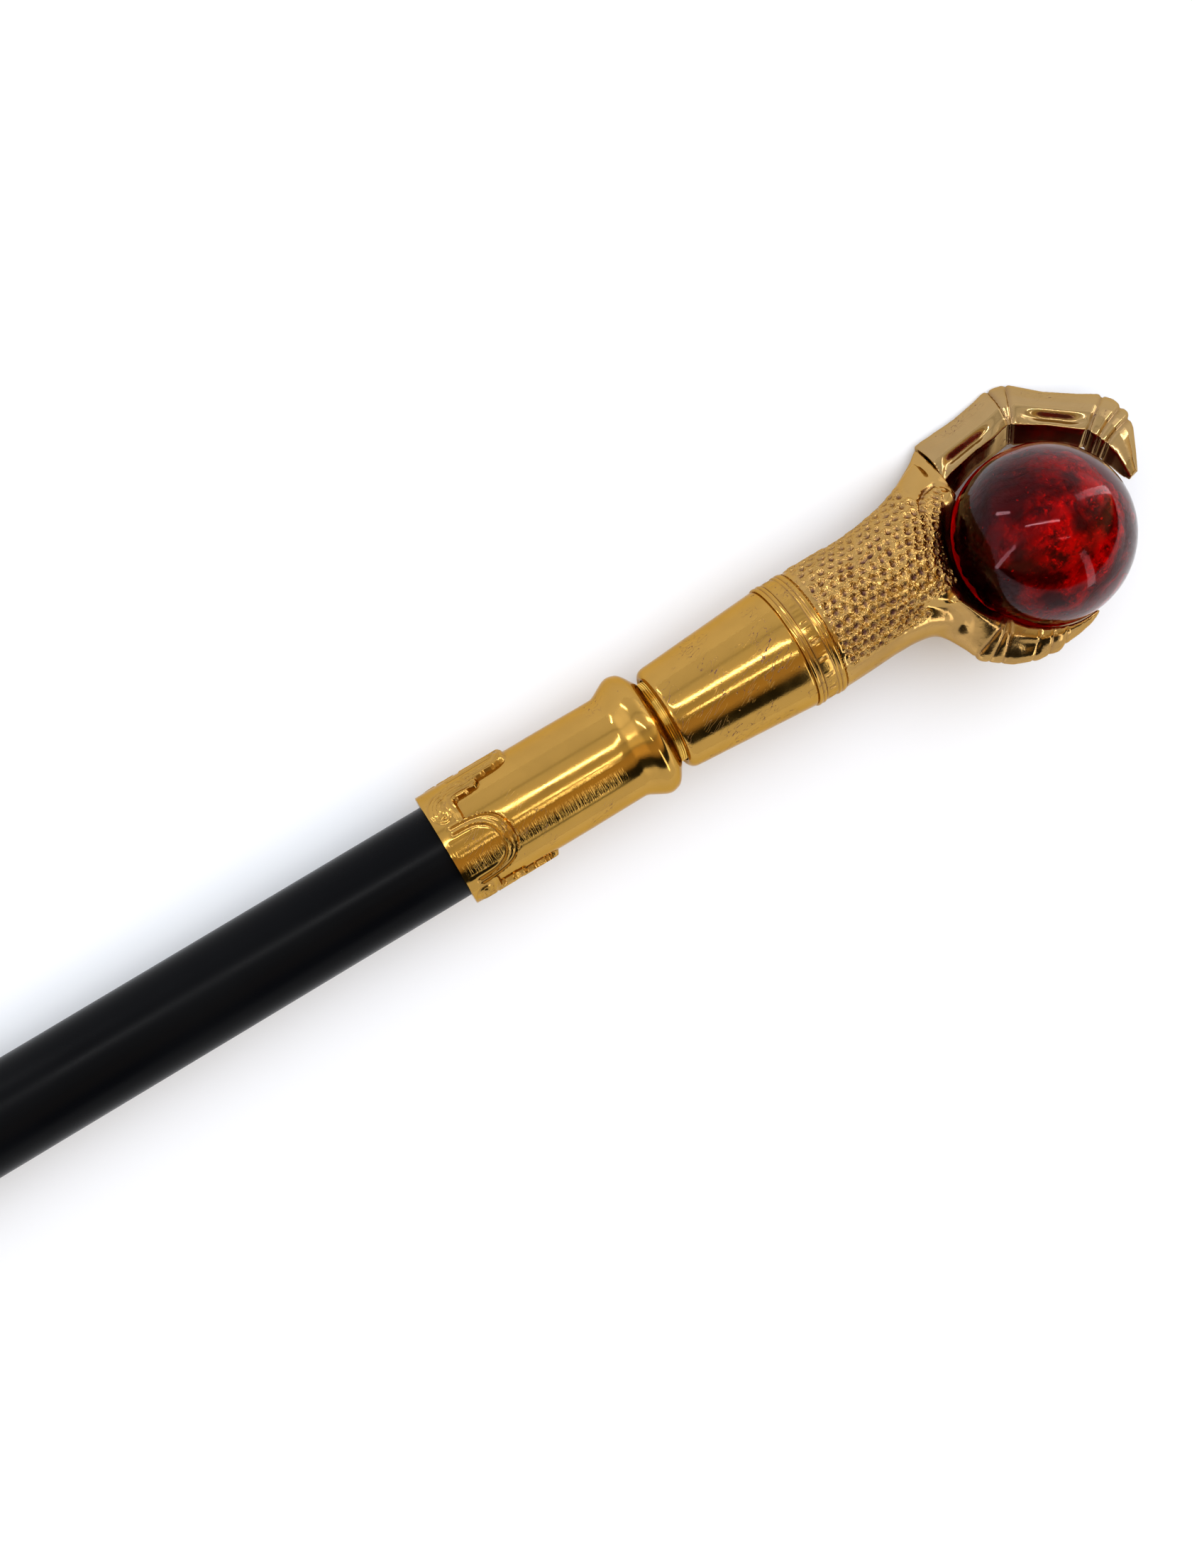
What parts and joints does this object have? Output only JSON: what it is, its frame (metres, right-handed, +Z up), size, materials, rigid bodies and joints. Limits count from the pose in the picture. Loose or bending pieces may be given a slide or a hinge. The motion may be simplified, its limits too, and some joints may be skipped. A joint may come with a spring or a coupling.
{
  "type": "sceptre",
  "caption": "Dress stick: a black shaft with a gold collar and screw joint, and a gold claw that grips a red crackle-glass ball.",
  "frame": {"origin": "bottom centre of the box round the lying stick, on the surface that it lies on", "axes": "+X along the stick towards the head, +Z up, +Y towards the upper toe"},
  "size_m": [0.9206, 0.0542, 0.0445],
  "materials": {
    "black_lacquer": "satin black lacquer",
    "black_rubber": "matt",
    "gold_plate": "polished gold plate with brown patina in the hollows and fine scratches",
    "pale_gold_plate": "polished, paler gold plate",
    "thread_brass": "machined thread",
    "red_glass": "clear polished glass over red crackle"
  },
  "bodies": {
    "root": {"shaft": "black_lacquer", "tip_ferrule": "black_rubber", "collar": "gold_plate", "screw_stud": "thread_brass", "cone_sleeve": "gold_plate", "claw": "gold_plate", "upper_toe": "pale_gold_plate", "ball": "red_glass"}
  },
  "joints": []
}
